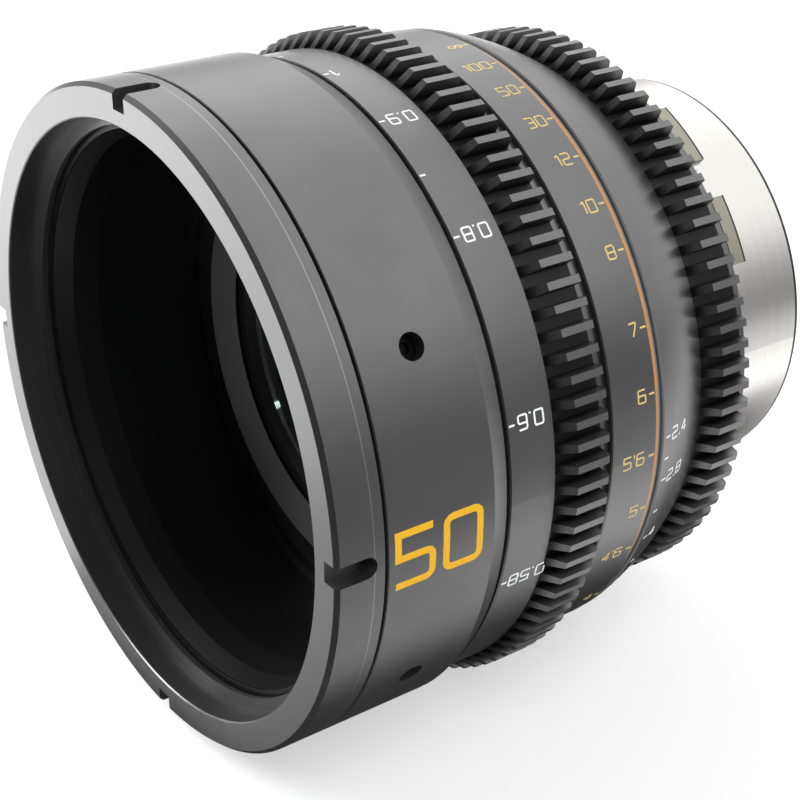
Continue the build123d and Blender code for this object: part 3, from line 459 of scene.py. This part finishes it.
def wrap(piece, radius, distance, angle, turned):
    """Wraps a flat mark round a radius, or a surface: it reads rearwards, or forwards if turned."""
    select_only(piece)
    bpy.ops.object.mode_set(mode="EDIT")
    tall = max(abs(corner[1]) for corner in piece.bound_box)
    cut = -int(tall / STRIP_HEIGHT) * STRIP_HEIGHT
    while cut <= tall:
        bpy.ops.mesh.select_all(action="SELECT")
        bpy.ops.mesh.bisect(plane_co=(0, cut, 0), plane_no=(0, 1, 0))
        cut += STRIP_HEIGHT
    bpy.ops.object.mode_set(mode="OBJECT")
    way = -1 if turned else 1
    surface = radius if callable(radius) else lambda place: radius
    middle = surface(station(distance))
    for vertex in piece.data.vertices:
        along, up, lift = vertex.co
        place = station(distance) + way * along
        turn = radians(angle) + way * up / middle
        far = surface(place) + lift
        vertex.co = (far * cos(turn), place, far * sin(turn))
    return piece


# %% The strokes of each numeral, as corners in shares of its width and of its height
STROKE_SHARES = {
    "0": [[(0, 0), (1, 0), (1, 1), (0, 1), (0, 0)]],
    "1": [[(0.35, 0.8), (0.75, 1), (0.75, 0)]],
    "2": [[(0, 1), (1, 1), (1, 0.52), (0, 0.48), (0, 0), (1, 0)]],
    "3": [[(0, 1), (1, 1), (1, 0), (0, 0)], [(0.25, 0.5), (1, 0.5)]],
    "4": [[(0.78, 0), (0.78, 1), (0, 0.3), (1.05, 0.3)]],
    "5": [[(1, 1), (-0.1, 1)], [(0, 1), (0, 0.54)], [(-0.1, 0.54), (1, 0.54), (1, 0), (-0.05, 0)]],
    "6": [[(0.95, 1), (0, 1), (0, 0), (1, 0), (1, 0.56), (0, 0.56)]],
    "7": [[(0, 1), (1, 1), (0.4, 0)]],
    "8": [[(0, 0), (1, 0), (1, 1), (0, 1), (0, 0)], [(0, 0.5), (1, 0.5)]],
    "9": [[(0.05, 0), (1, 0), (1, 1), (0, 1), (0, 0.44), (1, 0.44)]],
    ".": [[(0, 0.02), (0.22, 0.02)]],
    "'": [[(0, 1.05), (0, 0.75)]],
    "∞": [[(0, 0.25), (0.5, 0.25), (1, 0.75), (1.5, 0.75), (1.5, 0.25), (1, 0.25), (0.5, 0.75),
           (0, 0.75), (0, 0.25)]],
}
WIDTH_SHARE = 0.72
GAP_SHARE = 0.22
CORNER_SHARE = 0.13
PEN_SHARE = 0.14
print("characters with strokes:", len(STROKE_SHARES))


# %% Draw a numeral
def draw(corners, width, height):
    """Draws one stroke in edit mode: a point, pulled from corner to corner."""
    places = [Vector((across * width, up * height, 0)) for across, up in corners]
    bpy.ops.object.select_all(action="DESELECT")
    bpy.ops.mesh.primitive_plane_add(size=width, location=(0, 0, 0))
    bpy.ops.object.mode_set(mode="EDIT")
    bpy.ops.mesh.select_all(action="SELECT")
    bpy.ops.mesh.merge(type="CENTER")
    bpy.ops.transform.translate(value=places[0])
    for start, end in zip(places, places[1:]):
        bpy.ops.mesh.extrude_vertices_move(TRANSFORM_OT_translate={"value": end - start})
    bpy.ops.mesh.select_all(action="SELECT")
    bpy.ops.mesh.remove_doubles(threshold=height / 1000)
    bpy.ops.mesh.select_all(action="SELECT")
    bpy.ops.mesh.bevel(offset=CORNER_SHARE * height, segments=3, affect="VERTICES")
    bpy.ops.object.mode_set(mode="OBJECT")
    return bpy.context.object


def inked(stroke, pen):
    """Gives a stroke the width of the pen and a flat top."""
    select_only(stroke)
    bpy.ops.object.convert(target="CURVE")
    stroke = bpy.context.object
    stroke.data.bevel_depth = pen / 2
    stroke.data.bevel_resolution = 2
    stroke.data.use_fill_caps = True
    bpy.ops.object.convert(target="MESH")
    stroke = bpy.context.object
    for vertex in stroke.data.vertices:
        vertex.co.z = max(-1, min(1, 4 * vertex.co.z / pen)) * PAINT_THICKNESS
    return stroke


numerals = {}


# %% Set numerals side by side
def numeral(character, size):
    """One numeral, modelled once for each size."""
    if (character, size) not in numerals:
        strokes = [inked(draw(corners, WIDTH_SHARE * size, size), PEN_SHARE * size)
                   for corners in STROKE_SHARES[character]]
        bpy.ops.object.select_all(action="DESELECT")
        for stroke in strokes:
            stroke.select_set(True)
        bpy.context.view_layer.objects.active = strokes[0]
        if len(strokes) > 1:
            bpy.ops.object.join()
        model = bpy.context.object
        numerals[character, size] = (model.data.copy(), max(corner[0] for corner in model.bound_box))
        bpy.data.objects.remove(model)
    return numerals[character, size]


def words(text, size):
    """A flat number of the height given, centred on the origin."""
    pieces = []
    across = 0.0
    for character in text:
        mesh, width = numeral(character, size)
        piece = bpy.data.objects.new("numeral", mesh.copy())
        bpy.context.collection.objects.link(piece)
        piece.location = (across, -size / 2, 0)
        pieces.append(piece)
        across += width + GAP_SHARE * size
    bpy.ops.object.select_all(action="DESELECT")
    for piece in pieces:
        piece.location.x -= (across - GAP_SHARE * size) / 2
        piece.select_set(True)
    bpy.context.view_layer.objects.active = pieces[0]
    bpy.ops.object.transform_apply(location=True, rotation=True, scale=True)
    if len(pieces) > 1:
        bpy.ops.object.join()
    return bpy.context.object


def tick(length, width):
    """A flat bar, centred on the origin, with one cut across so that it can bend."""
    bpy.ops.object.select_all(action="DESELECT")
    sides = (length, width, 2 * PAINT_THICKNESS)
    bpy.ops.mesh.primitive_cube_add(size=1, location=(0, 0, 0), scale=sides)
    piece = bpy.context.object
    bpy.ops.object.transform_apply(location=True, rotation=True, scale=True)
    bpy.ops.object.mode_set(mode="EDIT")
    bpy.ops.mesh.select_all(action="SELECT")
    bpy.ops.mesh.bisect(plane_co=(length / 4, 0, 0), plane_no=(1, 0, 0))
    bpy.ops.object.mode_set(mode="OBJECT")
    return piece


# %% Join marks and set out a scale
def gather(name, pieces, paint, body):
    """Joins marks into one piece that rides on a body."""
    bpy.ops.object.select_all(action="DESELECT")
    for piece in pieces:
        piece.select_set(True)
    bpy.context.view_layer.objects.active = pieces[0]
    bpy.ops.object.join()
    joined = bpy.context.object
    joined.name = name
    joined.data.materials.clear()
    joined.data.materials.append(paint)
    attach(joined, body)
    print(name, "faces:", len(joined.data.polygons))


def scale(marks, surface, tick_place, tick_size, number_place, pitch, height, turned=False):
    """Ticks and numbers round a ring, in millimetres; a longer number stands further from its tick."""
    pieces = []
    for text, angle in marks:
        flat = tick(tick_size[0] * MM, tick_size[1] * MM)
        pieces.append(wrap(flat, surface, tick_place, angle, turned))
        if text:
            middle = number_place + pitch * len(text)
            pieces.append(wrap(words(text, height * MM), surface, middle, angle, turned))
    return pieces


# %% [markdown]
# ## The scales and the focal length
#
# Each list gives a number and its angle on the ring, with the ring as photographed. An empty text is
# a tick alone. The metre scale reads forwards and the feet scale rearwards, so that each stands
# upright for its own side of the camera. The numbers out of sight continue both scales.

# %% The metre scale
metre_marks = [
    ("0.58", -15.9), ("0.6", 13.5), ("0.8", 44.0), ("", 55.5), ("0.9", 67.8), ("1", 84.0), ("", 98.0),
    ("1.2", 111.0), ("1.5", 134.0), ("", 150.0), ("2", 168.0), ("2.5", 189.0), ("3", 205.0), ("5", 227.0),
    ("10", 245.0), ("∞", 264.6)]
pieces = scale(
    metre_marks, BAND_RADIUS, tick_place=23.7, tick_size=(0.75, 0.22),
    number_place=24.4, pitch=0.62, height=1.6, turned=True)
gather("metre_scale_marks", pieces, white_paint, "focus_ring")

# %% The feet scale
feet_marks = [
    ("∞", 84.6), ("100", 76.4), ("50", 68.5), ("30", 60.4), ("12", 52.1), ("10", 43.1), ("8", 34.9),
    ("7", 21.9), ("6", 10.7), ("5'6", -0.4), ("5", -11.1), ("4'6", -20.8), ("4", -36.0), ("3'6", -61.0),
    ("3'3", -83.0), ("3", -109.0), ("2'9", -127.0), ("2'6", -145.0), ("2'3", -163.0), ("2", -184.0)]
pieces = scale(
    feet_marks, BAND_RADIUS, tick_place=43.5, tick_size=(0.8, 0.22),
    number_place=42.7, pitch=-0.6, height=1.5)
gather("feet_scale_marks", pieces, yellow_paint, "focus_ring")

# %% The iris scale
iris_marks = [
    ("2.4", 1.5), ("", -2.7), ("2.8", -7.0), ("", -14.0), ("4", -20.5), ("", -27.5), ("5.6", -34.5),
    ("", -41.0), ("8", -47.5), ("", -54.0), ("11", -60.0), ("", -65.0), ("16", -69.5), ("22", -77.5)]
pieces = scale(
    iris_marks, profile("iris_ring"), tick_place=46.4, tick_size=(0.8, 0.2),
    number_place=47.2, pitch=0.55, height=1.45)
gather("iris_scale_marks", pieces, white_paint, "iris_control")

# %% The focal length on the front barrel
FOCAL_NUMBER_HEIGHT = 6.1 * MM
FOCAL_NUMBER_PLACE = 13.1
FOCAL_NUMBER_ANGLE = -1.0
number = words("50", FOCAL_NUMBER_HEIGHT)
pieces = [wrap(number, BARREL_RADIUS, FOCAL_NUMBER_PLACE, FOCAL_NUMBER_ANGLE, False)]
gather("focal_length_mark", pieces, amber_paint, "barrel")

# %% [markdown]
# ## Floor, world and lamps
#
# The lens lies on the tips of its focus gear, on a plain white floor. The camera sees white behind it,
# while the light that falls on the lens stays at a plain level. Black metal is seen by what it
# mirrors, so for mirrored rays the floor glows as a painted reflection, light in four places and dark
# in between: right of the lens, behind it, a little ahead of it, and far to the left.

# %% Floor
FLOOR_SIZE = 6
FLOOR_GAP = 0.05 * MM
FLOOR_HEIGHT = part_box("focus_gear")[0][2] - FLOOR_GAP
WHITE = (1, 1, 1, 1)
bpy.ops.object.select_all(action="DESELECT")
bpy.ops.mesh.primitive_plane_add(size=FLOOR_SIZE, location=(0, 0, FLOOR_HEIGHT))
floor = bpy.context.object
floor.name = "floor"
print("floor height: %.2f mm" % (FLOOR_HEIGHT / MM))
paint = Paint("White floor", Roughness=0.6, Specular_IOR_Level=0.1)
here = paint.place()
grain = paint.noise(here, 0.5, 2.0)
paint.feed("Base Color", paint.blend(grain, (0.80, 0.80, 0.80), (0.82, 0.82, 0.82)))

# %% Where the floor glows as a painted reflection for the metal
x, y, z = paint.parts(here)
right = paint.step(x, 33, 50) * paint.step(x, 60, 120, 1.0, 0.18)
right = right * paint.step(y, -85, -50) * paint.step(y, -35, 12, 1.1, 1.9)
behind = paint.step(y, 25, 55) * paint.step(x, 80, 260, 1.0, 0.33)
ahead = paint.step(y, -74, -66, 0.65, 0.0) * paint.step(x, -10, 35, 1.0, 0.0)
left = paint.step(x, -48, -28, 1.0, 0.0) * paint.step(x, -190, -90, 2.7, 1.7)
painted_reflection_strength = right.brighter(behind).brighter(ahead).brighter(left)
# Painted reflection: for mirrored rays the floor glows in this pattern, though it is no lamp.
painted_reflection_glow = paint.add("ShaderNodeEmission", None, {"Color": WHITE, "Strength": 0.06 + painted_reflection_strength * 0.94})

# %% The floor for the metal, for the camera and for the rest
glow = paint.add("ShaderNodeEmission", None, {"Color": WHITE, "Strength": 1.0})
camera_rays = paint.add("ShaderNodeLightPath")
glossy_rays = Signal(paint, camera_rays.socket.node.outputs["Is Glossy Ray"])
mirrored = paint.mix(glossy_rays, Signal(paint, paint.shader.outputs[0]), painted_reflection_glow)
distance = paint.add("ShaderNodeVectorMath", {"operation": "LENGTH"}, {0: here}, out=1)
haze = camera_rays * paint.step(distance, 150, 700, 0.55, 1.0)
seen = paint.mix(haze, mirrored, glow)
paint.tree.links.new(seen.socket, paint.tree.nodes["Material Output"].inputs[0])
floor.data.materials.append(paint.material)
print("nodes in the floor's paint:", len(paint.tree.nodes))

# %% World
world = bpy.data.worlds.new("Studio")
bpy.context.scene.world = world
world.use_nodes = True
world.node_tree.nodes.clear()
sky = Wiring(world.node_tree)
x, y, z = sky.parts(sky.add("ShaderNodeTexCoord"))
rise = sky.step(z, -0.06, 0.03) * 0.3 + sky.step(z, 0.05, 0.55) * 0.7
panel = rise * sky.step(y, -0.45, 0.45, 0.04, 1.0)
left = sky.step(x, 0.1, -0.8, 1.0, 1.5) * 1.5
backdrop = sky.step(y, 0.75, 0.95) * sky.step(z, -0.1, 0.0) * 1.3
light = (panel * left).brighter(backdrop)
studio = sky.add("ShaderNodeBackground", None, {0: WHITE, 1: 0.03 + light})
white = sky.add("ShaderNodeBackground", None, {0: WHITE, 1: 1.0})
seen = sky.mix(sky.add("ShaderNodeLightPath"), studio, white)
output = sky.tree.nodes.new("ShaderNodeOutputWorld")
sky.tree.links.new(seen.socket, output.inputs[0])
print("nodes in the sky:", len(sky.tree.nodes))

# %% Lamps
LAMP_AIM = Vector((0, -0.03, 0))


def softbox(name, place, power, size, mirrored=False):
    """A soft square lamp that faces the lens; the metal mirrors it only where that is wanted."""
    bpy.ops.object.light_add(type="AREA", location=place)
    lamp = bpy.context.object
    lamp.name = name
    lamp.data.shape = "SQUARE"
    lamp.data.size = size
    lamp.data.energy = power
    aim = LAMP_AIM - Vector(place)
    lamp.rotation_euler = aim.to_track_quat("-Z", "Y").to_euler()
    lamp.visible_glossy = mirrored
    print(name, "%.1f W, %.2f m wide" % (power, size))


softbox("left_softbox", (-0.56, -0.30, 0.14), 13.5, 0.40)
softbox("right_softbox", (0.45, -0.20, 0.55), 4.0, 0.35)
softbox("hood_softbox", (-0.44, -0.48, 0.22), 2.0, 0.26, mirrored=True)

# %% [markdown]
# ## The camera
#
# The camera stands close, a little above the lens, and looks down its flank. Its place and its angle
# were worked out from the circles of the rings in the photograph.

# %% Camera
CAMERA_PLACE = (0.157594, -0.143566, 0.091964)
CAMERA_DOWN = 27.05
CAMERA_AZIMUTH = 54.06
SENSOR_WIDTH = 36
PICTURE_WIDTH = 800
FOCAL_LENGTH_IN_PIXELS = 1690.02
bpy.ops.object.camera_add(location=CAMERA_PLACE)
camera = bpy.context.object
camera.name = "camera"
camera.rotation_euler = (radians(90 - CAMERA_DOWN), 0, radians(CAMERA_AZIMUTH))
camera.data.sensor_width = SENSOR_WIDTH
camera.data.lens = SENSOR_WIDTH * FOCAL_LENGTH_IN_PIXELS / PICTURE_WIDTH
camera.data.clip_start = 0.01
bpy.context.scene.camera = camera
bpy.context.scene.view_settings.view_transform = "Standard"
print("camera lens: %.1f mm on a sensor of %d mm" % (camera.data.lens, SENSOR_WIDTH))
